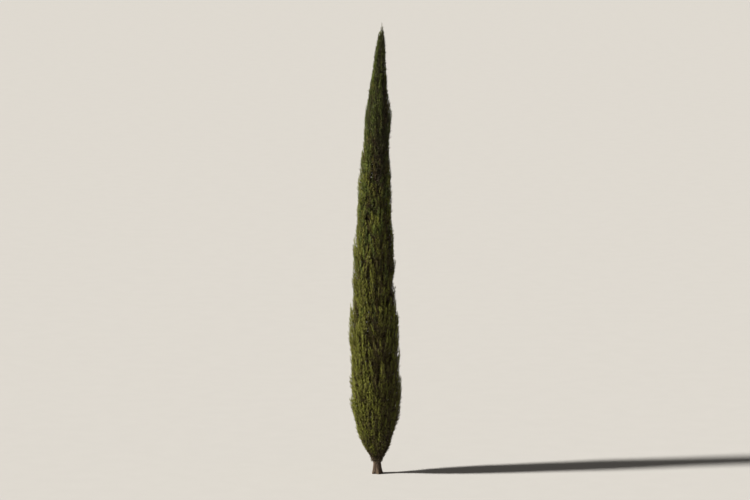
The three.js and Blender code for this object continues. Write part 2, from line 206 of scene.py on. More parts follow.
# Tiers of foliage, parted into sectors round the trunk: name, sectors, base height, stagger
tiers = [
    ("foot", 5, 0.17, 0),
    ("lower", 5, 1.5, 0.9),
    ("middle", 5, 3.9, 0.9),
    ("upper", 5, 6.3, 0.9),
    ("top", 3, 8.6, 0),
]
boughs = {
    "reach": 0.3,
    "riseGuess": 0.38,
    "radiusShare": 0.3,
    "taper": 0.72,
    "sag": 0.012,
    "collar": 0.55,         # how much wider a bough is where it leaves the trunk
    "collarLength": 0.16,   # share of the bough
    "relief": 0.14,         # share of its radius that the bark's fissures take
    "patternDrift": 0.5,    # how far a bough's place shifts the pattern of its bark
    "sides": 14,
    "steps": 16,
}
masses = {
    "coreShare": 0.78,
    "coreInnerTurn": 0.7,
    "coreThinnest": 0.03,
    "levelsPerMetre": 100,
    "marginInside": 0.066,
    "marginOutside": 0.014,
    "sideMargin": 0.009,
    "trunkMargin": 0.026,
    "stemOverlap": 0.01,    # m that the stem starts inside its bough
    "stemLead": 0.25,
    "stemBend": 0.45,       # share of the way up
    "stemTopShare": 0.94,
    "stemTaper": 0.35,
    "stemSteps": 12,
    "searchRounds": 12,
    "leastRise": 0.1,
}
twigs = {
    "rowPitch": 0.35,
    "fewestRows": 3,
    "heightSpread": 0.3,    # share of a row
    "turns": (0.2, 0.45),   # shares of the half sector
    "endShare": 0.82,
    "rise": 0.65,
    "lowestRoot": 0.08,     # share of the stem
    "fewestSprays": 2,
    "rootShare": 0.6,
    "tipShare": 0.25,
    "steps": 4,
}
sprays = {
    "length": 0.56,
    "lengthSpread": 0.14,
    "widthShare": 0.27,
    "reachSpread": 0.05,
    "turnSpread": 0.8,
    "angleSpread": 0.04,
    "leastRise": 0.45,
    "roots": (0.5, 0.8),    # shares of the twig
    "pitch": 0.19,
    "fanShare": 0.62,
    "widestSine": 0.7,
    "tipLead": 0.72,
    "topMargin": 0.03,
    "slimmestScale": 0.42,
    "fitRounds": 3,
}
leader = {
    "base": 10.15,
    "stemTop": 11.74,
    "stemOverlap": 0.02,
    "coreMargin": 0.06,
    "coreShare": 0.7,
    "coreThinnest": 0.012,
    "rootShare": 0.5,       # share of the core's radius
    "sprays": 30,
    "firstSpray": 0.02,
    "lastSpray": 0.12,
    "crestLength": 0.46,
    "lowestTip": 0.1,
    "darkSizes": (0.8, 0.45),
    # the leader's dark inner shoots: painted shade inside the crown
    "darkShade": (0.8, 2.0),
}


def tierBase(tierIndex, sector):
    if tierIndex >= len(tiers):
        return leader["base"]
    base, stagger = tiers[tierIndex][2:]
    return base + stagger * ((sector * goldenShare) % 1 - 0.5)


def crownSpaces():
    spaces = []
    for tierIndex, tier in enumerate(tiers):
        name, sectors = tier[:2]
        for sector in range(sectors):
            spaces.append({
                "name": f"{name}_{sector + 1}",
                "angle": crown["firstAngle"] + sector * fullTurn / sectors,
                "halfAngle": math.pi / sectors,
                "low": tierBase(tierIndex, sector),
                "high": tierBase(tierIndex + 1, sector),
            })
    return spaces


def boughOf(space):
    nearHeight = space["low"] + boughs["riseGuess"]
    trunkRadius = trunkRadiusAt(nearHeight)
    reach = mix(trunkRadius, crownAt(nearHeight, space["angle"]), boughs["reach"])
    root = axisAt(space["low"])
    tip = treePoint(reach, space["angle"], space["low"] + tree["growthRise"] * reach)
    outwards = Vector((math.cos(space["angle"]), math.sin(space["angle"]), 0))
    bend = root.lerp(tip, 0.5) + outwards * boughs["sag"]
    rootRadius = boughs["radiusShare"] * trunkRadius
    return {
        "corners": (root, bend, tip),
        "radius": rootRadius,
        "tip": tip,
        "heading": (tip - bend).normalized(),
        "tipRadius": rootRadius * boughs["taper"],
    }


def coreReach(space, z):
    besideTrunk = trunkRadiusAt(z) + masses["trunkMargin"]
    underNextTier = (z - space["high"] + masses["marginInside"]) / tree["growthRise"]
    overOwnBough = (z - space["low"] - masses["marginInside"]) / tree["growthRise"]
    nearest = max(besideTrunk, underNextTier) / math.cos(space["halfAngle"] * masses["coreInnerTurn"])
    return nearest, min(masses["coreShare"] * crownAt(z, space["angle"]), overOwnBough)


def coreHeights(space):
    perMetre = masses["levelsPerMetre"]
    thick = []
    for level in range(round(crown["footHeight"] * perMetre), round(tree["height"] * perMetre)):
        nearest, farthest = coreReach(space, level / perMetre)
        if farthest - nearest > masses["coreThinnest"]:
            thick.append(level / perMetre)
    return thick[0], thick[-1]


def fineness(z, angle):
    return mix(sprays["slimmestScale"], 1, crownAt(z, angle) / crown["widestRadius"])


def sprayLengthAt(z, angle):
    return sprays["length"] * fineness(z, angle)


def edgeHeight(space, base, share):
    z = base
    for step in range(crown["edgeRounds"]):
        level = max(z, crown["footHeight"] + crown["edgeFoot"])
        z = base + tree["growthRise"] * share * crownAt(level, space["angle"])
    return z


# The stem of a mass: on from its bough's tip, up the middle of the mass
def stemOf(space, bough, heights):
    start = bough["tip"] - bough["heading"] * masses["stemOverlap"]

    def middleOf(z):
        return treePoint(sum(coreReach(space, z)) / 2, space["angle"], z)

    bend = middleOf(mix(start.z, heights[1], masses["stemBend"]))
    lead = start + bough["heading"] * (bend - start).length * masses["stemLead"]
    top = middleOf(mix(heights[0], heights[1], masses["stemTopShare"]))
    return start, lead, bend, top


def stemPointAt(stem, z):
    low = 0
    high = 1
    for step in range(masses["searchRounds"]):
        middle = (low + high) / 2
        if bezier(stem, middle).z < z:
            low = middle
        else:
            high = middle
    return bezier(stem, low)


def twigsOf(space, stem, heights, chance):
    angle = space["angle"]
    foot = bezier(stem, twigs["lowestRoot"]).z
    lowest = edgeHeight(space, space["low"], twigs["endShare"]) + masses["marginOutside"]
    highest = edgeHeight(space, space["high"], 1) - sprays["tipLead"] * sprayLengthAt(heights[1], angle)
    scale = fineness((lowest + highest) / 2, angle)
    rows = max(twigs["fewestRows"], rounded((highest - lowest) / (twigs["rowPitch"] * scale)))
    grown = []
    for row in range(rows):
        hand = -1 if row % 2 == 0 else 1
        z = mix(lowest, highest, (row + 0.5 + spread(chance, twigs["heightSpread"])) / rows)
        twigAngle = angle + hand * space["halfAngle"] * mix(*twigs["turns"], chance())
        endRadius = twigs["endShare"] * crownAt(z, twigAngle)
        width = 2 * space["halfAngle"] * crownAt(z, twigAngle)
        count = rounded(sprays["fanShare"] * width / (sprays["pitch"] * scale))
        grown.append({
            "root": stemPointAt(stem, max(z - twigs["rise"] * endRadius, foot)),
            "end": treePoint(endRadius, twigAngle, z),
            "angle": twigAngle,
            "hand": hand,
            "count": max(twigs["fewestSprays"], count),
        })
    return grown


def sprayFrom(root, angle, chance):
    z = root.z
    length = sprayLengthAt(z, angle) * (1 + spread(chance, sprays["lengthSpread"]))
    reach = 1 - sprays["reachSpread"] * chance()
    spread(chance, sprays["turnSpread"])  # the source's next draw, which turns its blade
    tip = treePoint(crownAt(z, angle) * reach, angle, z)
    for step in range(sprays["fitRounds"]):
        sideways = math.hypot(tip.x - root.x, tip.y - root.y)
        rise = max(math.sqrt(max(length ** 2 - sideways ** 2, 0)), sprays["leastRise"] * length)
        z = min(root.z + rise, tree["height"] - sprays["topMargin"])
        tip = treePoint(crownAt(z, angle) * reach, angle, z)
    return {"root": root, "tip": tip, "angle": angle, "length": length}


def spraysOf(twig, space, chance):
    fan = []
    for index in range(twig["count"]):
        place = mix(1, 1 - 2 * sprays["fanShare"], index / (twig["count"] - 1)) * twig["hand"]
        root = twig["root"].lerp(twig["end"], mix(*sprays["roots"], chance()))
        halfWidth = sprayLengthAt(root.z, twig["angle"]) * sprays["widthShare"] / 2 + masses["sideMargin"]
        sine = min(sprays["widestSine"], halfWidth / crownAt(root.z, twig["angle"]))
        widest = space["halfAngle"] - math.asin(sine)
        angle = space["angle"] + widest * place + spread(chance, sprays["angleSpread"])
        fan.append(sprayFrom(root, angle, chance))
    return fan


# How far a shoot may stand out at some height above its own bough
def roomAt(space, z):
    return max(z - space["low"], masses["leastRise"]) / tree["growthRise"]


# Low down, where the crown flares out, the shoots stand off it more, so they start from further in
skirt = {
    "reach": 0.76,
    "heights": (0.4, 1.35),
}


def skirtReach(z):
    return mix(skirt["reach"], 1, smooth(*skirt["heights"], z))


# Colour steps by place: darker and browner at the foot, and darker towards the top. By side they are painted
# light and shade: lighter on the left flank, which faces the key light, and darker and browner on the right
# flank in its shade, most of all low down
toneAndPaintedLight = {
    "low": -0.8,
    "high": -1.7,
    # painted light: the left flank, towards the key light, is lighter
    "paintedLitSide": (1.0, 0.3),    # below and above the middle of the crown
    # painted shade: the right flank, away from the key light, is darker and browner
    "paintedShadedSide": (-1.9, -1.0),
    "lowFades": (0.02, 0.14),    # shares of the tree's height
    "highGrows": (0.35, 0.95),
    "middle": (0.15, 0.5),
    "turnsToPaintedShade": (-0.55, 0.35),    # cosines of the angle round the tree
}


def toneAndPaintedLightAt(z, angle):
    share = z / tree["height"]
    low = toneAndPaintedLight["low"] * (1 - smooth(*toneAndPaintedLight["lowFades"], share))
    high = toneAndPaintedLight["high"] * smooth(*toneAndPaintedLight["highGrows"], share)
    rise = smooth(*toneAndPaintedLight["middle"], share)
    # Painted light and shade by side: lighter where the key light falls on the left, darker and browner on
    # the shaded right
    paintedLitSide = mix(*toneAndPaintedLight["paintedLitSide"], rise)
    paintedShadedSide = mix(*toneAndPaintedLight["paintedShadedSide"], rise)
    return low + high + mix(paintedLitSide, paintedShadedSide, smooth(*toneAndPaintedLight["turnsToPaintedShade"], math.cos(angle)))


# Plumes: the foliage gathers into upright ribs with deeper clefts between them. 1 is on a rib, -1 in a cleft.
# Their colour steps are painted light on the ribs and painted shade in the clefts.
plumes = {
    "width": 0.2,
    "height": 1.5,
    "gain": 2.6,
    "reach": 0.05,          # share of the crown's radius
    "recess": 0.2,          # the clefts go deeper than the ribs stand out
    # colour steps of painted light on a rib and painted shade in a cleft
    "shade": 1.55,
}


def plumeAt(z, angle):
    across = crown["widestRadius"] * fineness(z, angle) / plumes["width"]
    place = Vector((math.cos(angle) * across, math.sin(angle) * across, z / plumes["height"]))
    return min(1, max(-1, plumes["gain"] * noise.noise(place)))


# Shoulders, where the outline steps in or out on one side: height, spread, reach, and side, which is 1 on the
# right and -1 on the left
shoulders = [(9.62, 0.3, 0.1, 1), (10.25, 0.32, -0.12, -1), (9.75, 0.22, 0.07, -1)]


def shoulderAt(z, angle):
    total = 0
    for height, spreadUp, reach, side in shoulders:
        total += reach * bell(z, height, spreadUp) * max(0, side * math.cos(angle))
    return total


# A shoot's way to its tip, which goes outwards first and then rises
def bentPath(root, tip, way, endShare):
    fromRadius, fromAngle, fromHeight = polarOf(root)
    toRadius, toAngle, toHeight = polarOf(tip)
    bend = treePoint(
        mix(fromRadius, toRadius, way["outFirst"]),
        fromAngle + turnBetween(fromAngle, toAngle) * way["turnFirst"],
        mix(fromHeight, toHeight, way["riseFirst"]),
    )
    return pointsAlong((root, bend, tip), way["steps"], endShare)


# A line of a twig or flame: its points, with the wood's thickness, the sprigs' size and their shade at each
def lineOf(points, thickness, size, shade):
    last = len(points) - 1
    return [
        (point, mix(*thickness, step / last), mix(*size, step / last), mix(*shade, step / last))
        for step, point in enumerate(points)
    ]


def woodLine(points, thickness):
    return lineOf(points, thickness, (1, 1), (0, 0))


def leafLine(points, size, shade):
    return lineOf(points, (0, 0), (size, size), shade)


# Flames: the upright tufts that each spray parts into. One ends the spray, and another leaves its side.
flames = {
    "sideRoot": 0.22,       # share of the spray where the side flame leaves it
    "sideLength": 0.74,     # share of the spray's length
    "lengths": (0.85, 1.12),
    "fan": 0.11,            # m round the crown to the side flame's tip
    "fanSpread": 0.03,
    "reach": 0.965,         # share of the crown's radius
    "reachSpread": 0.05,
    "leastRadius": 0.02,
    "widestTurn": 1.2,
    "leastRise": 0.45,      # share of its length
    "topMargin": 0.05,
    "outFirst": 0.86,
    "turnFirst": 0.86,
    "riseFirst": 0.4,
    "steps": 5,
    "endGap": 0.05,         # m that the end sprig adds
    "leastShare": 0.5,
    "sizes": (0.88, 1.12),
    "rootThickness": 0.0042,
    "tipThickness": 0.0014,
    "shadeSpread": 0.55,
    # darker at the root, deep in the crown, and lighter at the tip: partly painted shade inside the crown,
    # partly lighter growth at the tips
    "rootShade": 2.3,
    "tipShade": 4.4,
    "rootLift": 0.6,        # share of a flame's own shade that its root takes
}


# The size of a flame's sprigs, and their colour steps at its root and tip. These take in the plumes' painted
# light and shade, and the painted light and shade of the flame's side of the tree.
def flameLooks(tip, plumePaintedLightAndShade, chance):
    radius, angle, z = polarOf(tip)
    size = math.sqrt(fineness(z, angle)) * chance.uniform(*flames["sizes"])
    lift = chance.gauss(0, flames["shadeSpread"]) + plumePaintedLightAndShade * plumeAt(z, angle) + toneAndPaintedLightAt(z, angle)
    return size, (flames["rootShade"] + lift * flames["rootLift"], flames["tipShade"] + lift)


def flamePath(root, tip, way, size):
    endShare = max(flames["leastShare"], 1 - flames["endGap"] * size / (tip - root).length)
    return bentPath(root, tip, way, endShare)


def flameLine(root, tip, chance):
    size, shade = flameLooks(tip, plumes["shade"] / 2, chance)
    thickness = (flames["rootThickness"] * size, flames["tipThickness"] * size)
    return lineOf(flamePath(root, tip, flames, size), thickness, (size, size), shade)


# The tip of a flame of some length, near the crown's outline and some way round it from an angle
def flameTip(root, angle, sideways, length, reach):
    z = root.z
    turned = angle
    for step in range(sprays["fitRounds"]):
        radius = max(crownAt(z, turned) * reach, flames["leastRadius"])
        turned = angle + min(flames["widestTurn"], max(-flames["widestTurn"], sideways / radius))
        outwards = radius - polarOf(root)[0]
        rise = math.sqrt(max(length ** 2 - outwards ** 2, (flames["leastRise"] * length) ** 2))
        z = min(root.z + rise, tree["height"] - flames["topMargin"])
    return treePoint(crownAt(z, turned) * reach, turned, z)


def flamesOf(spray, chance):
    root = spray["root"].lerp(spray["tip"], flames["sideRoot"])
    hand = chance.choice((-1, 1))
    sideways = hand * flames["fan"] + chance.gauss(0, flames["fanSpread"])
    length = spray["length"] * flames["sideLength"] * chance.uniform(*flames["lengths"])
    reach = flames["reach"] - abs(chance.gauss(0, 1)) * flames["reachSpread"]
    sideTip = flameTip(root, spray["angle"], sideways, length, reach)
    return [flameLine(spray["root"], spray["tip"], chance), flameLine(root, sideTip, chance)]


# Dark inner shoots follow the stems, twigs and branchlets, and make the crown dense. Their dark colour steps
# are painted shade for the crown's inside, partly the brown of dead inner foliage.
inner = {
    "stemSize": 1.45,
    "twigSize": 1.0,
    "branchletSize": 0.82,
    # dark steps: painted shade inside the crown
    "stemShade": (0.6, 1.3),
    "twigShade": (0.9, 1.9),
    "branchletShade": (0.8, 2.1),
    "twigEnd": 0.62,        # share of a twig that carries dark shoots
    "fullSizeRadius": 0.48,  # m: dark shoots are smaller where the crown is slimmer
    "leastSize": 0.56,
    "finenessPower": 0.85,
    "fineBelow": 1.3,       # m: low down the inner shoots show, and are as fine as the outer ones
}


def innerSizeAt(z, angle):
    slim = max(inner["leastSize"], crownAt(z, angle) / inner["fullSizeRadius"])
    return min(fineness(z, angle) ** inner["finenessPower"], slim)


# Branchlets: finer twigs between the source's own. Each one leaves the stem, bends up and ends in a flame.
# They stand in even rows round the crown, so that it has no gaps.
branchlets = {
    "rowPitch": 0.27,
    "columnPitch": 0.112,
    "fewestColumns": 2,
    "firstColumn": 0.25,
    "jitter": 0.32,         # share of a pitch
    "reach": 0.962,
    "reachSpread": 0.03,
    "fall": 1.0,            # how far below its tip a branchlet leaves the stem, in crown radii
    "leastFall": 0.13,
    "leastRise": 0.08,
    "outFirst": 0.9,
    "turnFirst": 1.0,
    "riseFirst": 0.4,
    "steps": 7,
    "darkFrom": 1,          # the step where its dark shoots begin
    "greenFrom": 4,         # and the one where its flame begins
    "thickness": 0.0055,
    "lowestTip": 0.46,
    "highestTip": 11.78,
    "overOwnEdge": 0.06,
    "overNextEdge": 0.12,
    "sway": 0.17,
    "swayHeight": 1.9,
    "closest": 0.78,        # towards the slim top the rows and columns close up
    "closes": (8.0, 9.8),
}


def pitchScaleAt(z, angle):
    return fineness(z, angle) * mix(1, branchlets["closest"], smooth(*branchlets["closes"], z))


# Where two masses meet, their shoots meet on a line that wanders to and fro as it climbs
def seamSway(z):
    return branchlets["sway"] * math.sin(fullTurn * z / branchlets["swayHeight"])


def branchletsOf(space, stem, lowest, highest, chance):
    z = lowest
    grown = []
    while z < highest:
        scale = pitchScaleAt(z, space["angle"])
        width = 2 * space["halfAngle"] * crownAt(z, space["angle"])
        columns = max(branchlets["fewestColumns"], round(width / (branchlets["columnPitch"] * scale)))
        for column in range(columns):
            jitter = chance.uniform(-1, 1) * branchlets["jitter"]
            place = (column + branchlets["firstColumn"] + jitter) / columns
            turned = space["angle"] + space["halfAngle"] * (2 * place - 1) + seamSway(z)
            lift = (column * goldenShare) % 1 - 0.5 + chance.uniform(-1, 1) * branchlets["jitter"]
            height = min(z + lift * branchlets["rowPitch"] * scale, branchlets["highestTip"])
            reach = branchlets["reach"] - abs(chance.gauss(0, 1)) * branchlets["reachSpread"]
            rib = plumes["reach"] * (plumeAt(height, turned) - plumes["recess"])
            reach += rib + shoulderAt(height, turned)
            radius = min(crownAt(height, turned) * (reach * skirtReach(height)), roomAt(space, height))
            root = stemPointAt(stem, height - branchlets["leastFall"] - branchlets["fall"] * radius)
            if root.z < height - branchlets["leastRise"]:
                grown.append((root, treePoint(radius, turned, height)))
        z += branchlets["rowPitch"] * scale
    return grown


def addBranchlets(mass, space, stem, lowest, highest, chance):
    for root, tip in branchletsOf(space, stem, lowest, highest, chance):
        radius, angle, z = polarOf(tip)
        size, shade = flameLooks(tip, plumes["shade"], chance)
        points = flamePath(root, tip, branchlets, size)
        green = points[branchlets["greenFrom"]:]
        dark = points[branchlets["darkFrom"]:branchlets["greenFrom"] + 1]
        darkSize = inner["branchletSize"] * innerSizeAt(z, angle)
        mass["thin"].append(woodLine(points, (branchlets["thickness"] * size, flames["tipThickness"] * size)))
        mass["outside"].append(leafLine(green, size, shade))
        mass["inside"].append(leafLine(dark, darkSize, inner["branchletShade"]))


# Bare side twigs carry dark shoots to a mass's flanks, where it meets the next one. Their dark colour is
# painted shade, as inside the crown.
flanks = {
    "pitch": 0.14,
    "reaches": (0.68, 0.46),  # shares of the crown's radius, by turns
    "reachSpread": (0.92, 1.05),
    "roomShare": 0.9,
    "turn": 0.98,           # share of the way round to the next mass
    "rise": 0.55,
    "outFirst": 0.7,
    "turnFirst": 0.9,
    "riseFirst": 0.5,
    "steps": 4,
    "endShare": 0.9,
    "size": 1.2,
    "shade": (0.8, 1.8),
    "thickness": 0.004,
    "topGap": 0.25,
}

# Others turn back towards the trunk
backs = {
    "reaches": (0.16, 0.3),
    "turns": (0.5, 1.0),    # shares of the half sector
    "turnSpread": (0.6, 1),
    "rise": 0.12,
    "steps": 3,
    "size": 1.45,
}


def darkTwig(points, size, shade):
    return lineOf(points, (flanks["thickness"] * size,) * 2, (size, size), shade)


def flankLinesOf(space, stem, lowest, highest, chance):
    z = lowest
    row = 0
    grown = []
    while z < highest:
        for hand in (-1, 1):
            angle = space["angle"] + hand * space["halfAngle"] * flanks["turn"] + seamSway(z)
            reach = flanks["reaches"][(row + (hand > 0)) % 2] * chance.uniform(*flanks["reachSpread"])
            radius = min(crownAt(z, angle) * reach, roomAt(space, z) * flanks["roomShare"])
            root = stemPointAt(stem, z - flanks["rise"] * crownAt(z, angle))
            points = bentPath(root, treePoint(radius, angle, z), flanks, flanks["endShare"])
            grown.append(darkTwig(points, flanks["size"] * innerSizeAt(z, angle), flanks["shade"]))
        hand = chance.choice((-1, 1))
        turn = backs["turns"][row % 2] * space["halfAngle"] * hand * chance.uniform(*backs["turnSpread"])
        reach = backs["reaches"][row % 2] * crownAt(z, space["angle"])
        back = treePoint(reach, space["angle"] + turn, z)
        points = pointsAlong((stemPointAt(stem, z - backs["rise"]), back), backs["steps"])
        grown.append(darkTwig(points, backs["size"] * innerSizeAt(z, space["angle"]), inner["stemShade"]))
        z += flanks["pitch"] * pitchScaleAt(z, space["angle"])
        row += 1
    return grown


# The crown's lowest shoots: short, dark and close to the trunk's foot. Their dark colour steps are painted
# shade under the crown, partly darker old foliage.
footShoots = {
    "count": 17,
    "tips": (0.33, 0.66),       # m: the lowest and highest
    "reaches": (1.2, 0.78),     # shares of the crown's radius at these heights
    "trunkMargin": 0.035,
    "turnSpread": 0.06,
    "rootSpread": 0.7,
    "dip": 0.05,
    "dipAt": 0.6,
    "steps": 5,
    "thickness": (0.003, 0.002),
    "size": (0.62, 0.48),
    # dark steps: painted shade under the crown
    "shade": (0.4, 2.0),
}


def footLinesOf(space, stem, chance):
    grown = []
    for number in range(footShoots["count"]):
        share = (number + 0.5) / footShoots["count"]
        rise = (number * goldenShare) % 1
        z = mix(*footShoots["tips"], rise)
        turn = chance.uniform(-footShoots["turnSpread"], footShoots["turnSpread"])
        angle = space["angle"] + space["halfAngle"] * (2 * share - 1) + turn
        root = stem[0].lerp(stem[1], chance.uniform(0, footShoots["rootSpread"]) * rise)
        reach = crownAt(z, angle) * mix(*footShoots["reaches"], rise)
        tip = treePoint(max(reach, trunkRadiusAt(z) + footShoots["trunkMargin"]), angle, z)
        low = root.lerp(tip, footShoots["dipAt"]) - Vector((0, 0, footShoots["dip"]))
        points = pointsAlong((root, low, tip), footShoots["steps"])
        grown.append(lineOf(points, footShoots["thickness"], footShoots["size"], footShoots["shade"]))
    return grown


# A mass starts with its stem. Its lines are thick and thin wood, and inside and outside ones that carry
# sprigs.
def newMass(name, stemPoints, radius):
    return {
        "name": name,
        "thick": [woodLine(stemPoints, (radius, radius * masses["stemTaper"]))],
        "thin": [],
        "inside": [],
        "outside": [],
    }


# One stream repeats the source's draws, and the other is for what only the scene has
def chancesOf(index):
    seed = tree["growthSeed"]
    return randomStream(seed + index * tree["seedStep"]), random.Random(seed + index)


def growMass(space, index):
    chance, fineChance = chancesOf(index)
    bough = boughOf(space)
    heights = coreHeights(space)
    stem = stemOf(space, bough, heights)
    stemPoints = pointsAlong(stem, masses["stemSteps"])
    mass = newMass(space["name"], stemPoints, bough["tipRadius"])
    size = inner["stemSize"] * innerSizeAt(stemPoints[len(stemPoints) // 2].z, space["angle"])
    mass["inside"].append(leafLine(stemPoints[1:], size, inner["stemShade"]))
    for twig in twigsOf(space, stem, heights, chance):
        ends = (twig["root"], twig["end"])
        thickness = (bough["tipRadius"] * twigs["rootShare"], bough["tipRadius"] * twigs["tipShare"])
        mass["thick"].append(woodLine(pointsAlong(ends, twigs["steps"]), thickness))
        size = inner["twigSize"] * innerSizeAt(twig["end"].z, twig["angle"])
        leafy = pointsAlong(ends, twigs["steps"], inner["twigEnd"])
        mass["inside"].append(leafLine(leafy, size, inner["twigShade"]))
        for spray in spraysOf(twig, space, chance):
            mass["outside"] += flamesOf(spray, fineChance)
    mass["thin"] += mass["outside"]
    atFoot = space["low"] < crown["footHeight"]
    ownEdge = edgeHeight(space, space["low"], 1) + branchlets["overOwnEdge"]
    lowest = branchlets["lowestTip"] if atFoot else max(ownEdge, branchlets["lowestTip"])
    highest = edgeHeight(space, space["high"], 1) + branchlets["overNextEdge"]
    addBranchlets(mass, space, stem, lowest, highest, fineChance)
    flankLines = flankLinesOf(space, stem, lowest, highest - flanks["topGap"], fineChance)
    if atFoot:
        lowShoots = footLinesOf(space, stem, fineChance)
        mass["thin"] += lowShoots
        mass["outside"] += lowShoots
    mass["thin"] += flankLines
    dark = mass["inside"] + flankLines
    mass["inside"] = [line for line in dark if line[-1][0].z > inner["fineBelow"]]
    mass["outside"] += [line for line in dark if line[-1][0].z <= inner["fineBelow"]]
    return mass


def growLeader(index):
    chance, fineChance = chancesOf(index)
    space = {"angle": 0, "halfAngle": math.pi, "low": leader["base"]}
    stemLow = trunk["tipHeight"] - leader["stemOverlap"]
    stem = [axisAt(mix(stemLow, leader["stemTop"], step / 3)) for step in range(4)]
    stemPoints = pointsAlong(stem, masses["stemSteps"])
    mass = newMass("leader", stemPoints, trunk["tipRadius"])
    mass["inside"].append(lineOf(stemPoints[:-1], (0, 0), leader["darkSizes"], leader["darkShade"]))
    firstSpray = trunk["tipHeight"] + leader["coreMargin"] + leader["firstSpray"]
    lastSpray = leader["stemTop"] - leader["lastSpray"]
    for number in range(leader["sprays"]):
        angle = number * fullTurn * goldenShare
        z = mix(firstSpray, lastSpray, number / (leader["sprays"] - 1))
        room = (z - leader["base"] - masses["marginOutside"]) / tree["growthRise"]
        core = max(min(room, crownRadius(z) * leader["coreShare"]), leader["coreThinnest"])
        spray = sprayFrom(treePoint(core * leader["rootShare"], angle, z), angle, chance)
        mass["outside"] += flamesOf(spray, fineChance)
    crestRoot = axisAt(tree["height"] - leader["crestLength"])
    mass["outside"].append(flameLine(crestRoot, axisAt(tree["height"]), fineChance))
    mass["thin"] += mass["outside"]
    lowest = leader["base"] + leader["lowestTip"]
    addBranchlets(mass, space, stem, lowest, branchlets["highestTip"], fineChance)
    return mass


# Colours are told in sRGB, as a picker shows them
def linearOf(hexColor):
    channels = [int(hexColor[start:start + 2], 16) / 255 for start in (1, 3, 5)]
    return [c / 12.92 if c <= 0.04045 else ((c + 0.055) / 1.055) ** 2.4 for c in channels] + [1]


# Adds a node. An input takes a value, or a link from a socket or from a node's first output.
def addNode(nodeTree, kind, inputs=None, **settings):
    node = nodeTree.nodes.new(kind)
    for name, value in settings.items():
        setattr(node, name, value)
    for socket, value in (inputs or {}).items():
        if isinstance(value, bpy.types.Node):
            value = value.outputs[0]
        if isinstance(value, bpy.types.NodeSocket):
            nodeTree.links.new(value, node.inputs[socket])
        else:
            node.inputs[socket].default_value = value
    return node


# A new material, its nodes and surface, and the place on a piece that its patterns are drawn from
def newMaterial(name, roughness):
    material = bpy.data.materials.new(name)
    material.use_nodes = True
    nodes = material.node_tree
    surface = nodes.nodes["Principled BSDF"]
    surface.inputs["Roughness"].default_value = roughness
    return material, nodes, surface, addNode(nodes, "ShaderNodeTexCoord").outputs["Object"]


# Living scale-leaf shoots: waxy and close-set, so dull with a faint gloss. Real scales are 1 to 2 mm long,
# too fine to show, and are drawn here as 9 mm knobs. Each shade is one plain colour: olive ones for the old
# foliage, and deeper greens for the young foliage towards the top.
foliage = {
    "oldShades": ["#2e2110", "#392e13", "#4a4619", "#5f6120", "#6e7326", "#767c2c", "#808535"],
    "youngShades": ["#2b2411", "#333114", "#424819", "#4f5b20", "#5d6a27", "#68752e", "#748038"],
    "shadeNames": ["inner", "deep", "shaded", "middle", "bright", "lit", "tip"],
    "young": (0.25, 1.04),  # shares of the tree's height: none below the first, and all above the second
    "youngPatch": 0.16,     # m across a patch of young foliage
    "leastYoung": 0.02,
    "roughness": 0.62,
    "ior": 1.45,
    "scaleSize": 0.009,
    "scaleDepth": 0.0012,
    "scaleStrength": 0.5,
}


# Young foliage comes in patches, whole flames at a time: 1 where a flame is young, else 0
def youngAt(point):
    likely = smooth(*foliage["young"], point.z / tree["height"])
    patch = 0.5 + noise.noise(point / foliage["youngPatch"])
    return 1.0 if max(patch, foliage["leastYoung"]) < likely else 0.0


def scaleLeafMaterial(name, hexColor):
    material, nodes, surface, place = newMaterial(f"scale_leaf_{name}", foliage["roughness"])
    scales = addNode(nodes, "ShaderNodeTexVoronoi", {"Vector": place, "Scale": 1 / foliage["scaleSize"]})
    bump = addNode(nodes, "ShaderNodeBump", {
        "Height": scales.outputs["Distance"],
        "Strength": foliage["scaleStrength"],
        "Distance": foliage["scaleDepth"],
    }, invert=True)
    nodes.links.new(bump.outputs["Normal"], surface.inputs["Normal"])
    surface.inputs["Base Color"].default_value = linearOf(hexColor)
    surface.inputs["IOR"].default_value = foliage["ior"]
    return material


# Cypress bark: thin, fibrous and weathered grey over red-brown, in long strips parted by shallow fissures.
# The relief's own depth darkens the fissures: partly the darker bark inside them, partly painted shade.
# Stretched noise draws the fibres, and soft blotches of about 70 mm the weathering. Real fibres are 1 to 2 mm
# wide, too fine to show, and are drawn here 6 mm wide.
bark = {
    # All three colours are darker than bare cypress bark: painted shade, as the trunk and boughs stand in the
    # crown's shade
    "ridge": "#4c3e31",
    "pale": "#66584a",
    "fissure": "#1e1610",
    "roughness": 0.9,
    "blotchesPerMetre": 14,
    "blotchDetail": 4,
    "blotchEdges": (0.42, 0.66),
    "fibreWidth": 0.006,
    "fibreStretch": 0.06,   # the fibres' width for each metre of their length
    "fibreDetail": 5,
    "fibreStrength": 0.7,
    "fibreDepth": 0.003,
    "stripWidth": 0.024,
    "stripLength": 0.3,
    "stripDepth": 0.009,
    "deepest": 0.12,        # share of the trunk's radius
    "wander": 0.5,          # how far the strips wander, and at what scale
    "wanderScale": 0.6,
    "wanderSeed": 3,        # noise_vector starts from the clock unless it has a seed
    "ridgeEdge": 0.3,
    "fibreLength": 0.09,
    "fibresPerStrip": 2.6,
    "flakeScale": 1.7,
    "flakeEdges": (-0.1, 0.35),
    "shares": (0.55, 0.27, 0.18),  # of the relief: ridges, fibres and flakes
    "patternRadius": 1.3,   # in radii of the trunk's foot
    "twist": 0.35,          # turns of the strips for each metre up, in radians
    "columns": 200,
    "rowStep": 0.0065,
    "fineHeight": 0.5,      # rows stand further apart above this
    "rowGrowth": 0.08,
    "longestStep": 0.25,
    "capDepth": 0.5,
}
noise.seed_set(bark["wanderSeed"])


